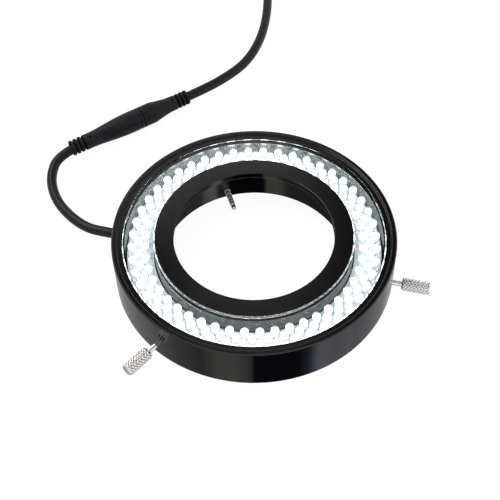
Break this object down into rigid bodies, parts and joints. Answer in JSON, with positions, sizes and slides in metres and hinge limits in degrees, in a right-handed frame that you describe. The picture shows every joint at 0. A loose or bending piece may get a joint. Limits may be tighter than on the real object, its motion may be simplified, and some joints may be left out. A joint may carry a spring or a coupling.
{
  "type": "microscope ring light",
  "caption": "Round LED lamp that clamps under a stereo microscope's head with thumbscrews, with a flat glass window and a plug-in supply lead.",
  "frame": {"origin": "middle of the collar's mouth, in the plane of the back face that the lamp rests on", "axes": "+Z along the ring's axis, out of the side that gives light; +X to the right, with the first thumbscrew 13.5 degrees towards -Y from it"},
  "size_m": [0.1526, 0.2882, 0.019],
  "materials": {
    "housing_black": "gloss black paint on aluminium, satin on the upward faces",
    "cover_black": "satin black",
    "screw_steel": "zinc plated",
    "brass": "turned",
    "window_glass": "clear, polished",
    "gasket_rubber": "matte",
    "board_white": "white solder mask",
    "lamp_white": "clear epoxy, lit",
    "chip_black": "moulded",
    "nickel": "nickel plate, diamond knurl on the knobs",
    "contact_nickel": "nickel plate",
    "cord_black": "smooth, soft sheen",
    "connector_black": "moulded, satin",
    "tie_black": "matte",
    "wire_red": "insulated",
    "wire_black": "insulated"
  },
  "bodies": {
    "housing": {"housing_shell": "housing_black", "inner_collar": "housing_black", "back_cover": "cover_black", "cover_screws": "screw_steel", "board_spacers": "brass", "cover_glass": "window_glass", "gasket_outer": "gasket_rubber", "gasket_inner": "gasket_rubber", "led_board": "board_white", "led_row_inner": "lamp_white", "led_row_middle": "lamp_white", "led_row_outer": "lamp_white", "board_resistors": "chip_black", "board_regulator": "chip_black", "screw_guide_1": "brass", "screw_guide_2": "brass", "screw_guide_3": "brass", "cord_grommet": "cord_black", "cord_clamp": "screw_steel", "wire_positive": "wire_red", "wire_negative": "wire_black", "ring_lead": "cord_black", "socket_body": "connector_black", "socket_contact": "contact_nickel", "socket_pin": "contact_nickel"},
    "supply": {"supply_plug_body": "connector_black", "supply_plug_barrel": "contact_nickel", "supply_plug_insulator": "chip_black", "supply_lead": "cord_black", "supply_coil": "cord_black", "coil_tie": "tie_black", "supply_tail": "cord_black", "end_plug_body": "connector_black", "end_plug_barrel": "contact_nickel", "end_plug_insulator": "chip_black"},
    "tip_1": {"swivel_tip_1": "nickel"},
    "screw_1": {"thumbscrew_1": "nickel"},
    "tip_2": {"swivel_tip_2": "nickel"},
    "screw_2": {"thumbscrew_2": "nickel"},
    "tip_3": {"swivel_tip_3": "nickel"},
    "screw_3": {"thumbscrew_3": "nickel"}
  },
  "joints": [
    {"name": "screw_1_travel", "type": "slide", "parent": "housing", "child": "tip_1", "axis": [0.9724, -0.2334, 0], "range_m": [-0.00315, 0.0063]},
    {"name": "screw_1_turn", "type": "hinge", "parent": "tip_1", "child": "screw_1", "pos_m": [0.03073, -0.00738, 0.0032], "axis": [0.9724, -0.2334, 0], "range_deg": [-2525, 5045]},
    {"name": "screw_2_travel", "type": "slide", "parent": "housing", "child": "tip_2", "axis": [-0.284, 0.9588, 0], "range_m": [-0.00135, 0.0081]},
    {"name": "screw_2_turn", "type": "hinge", "parent": "tip_2", "child": "screw_2", "pos_m": [-0.00841, 0.02838, 0.0032], "axis": [-0.284, 0.9588, 0], "range_deg": [-1085, 6485]},
    {"name": "screw_3_travel", "type": "slide", "parent": "housing", "child": "tip_3", "axis": [-0.6884, -0.7254, 0], "range_m": [-0.00315, 0.0063]},
    {"name": "screw_3_turn", "type": "hinge", "parent": "tip_3", "child": "screw_3", "pos_m": [-0.02175, -0.02292, 0.0032], "axis": [-0.6884, -0.7254, 0], "range_deg": [-2525, 5045]},
    {"name": "supply_unplug", "type": "slide", "parent": "housing", "child": "supply", "axis": [0.8522, 0.5232, 0], "range_m": [0, 0.012]}
  ],
  "couplings": [
    {"joint": "screw_1_turn", "follows": "screw_1_travel", "rad_per_m": 13963},
    {"joint": "screw_2_turn", "follows": "screw_2_travel", "rad_per_m": 13963},
    {"joint": "screw_3_turn", "follows": "screw_3_travel", "rad_per_m": 13963}
  ]
}
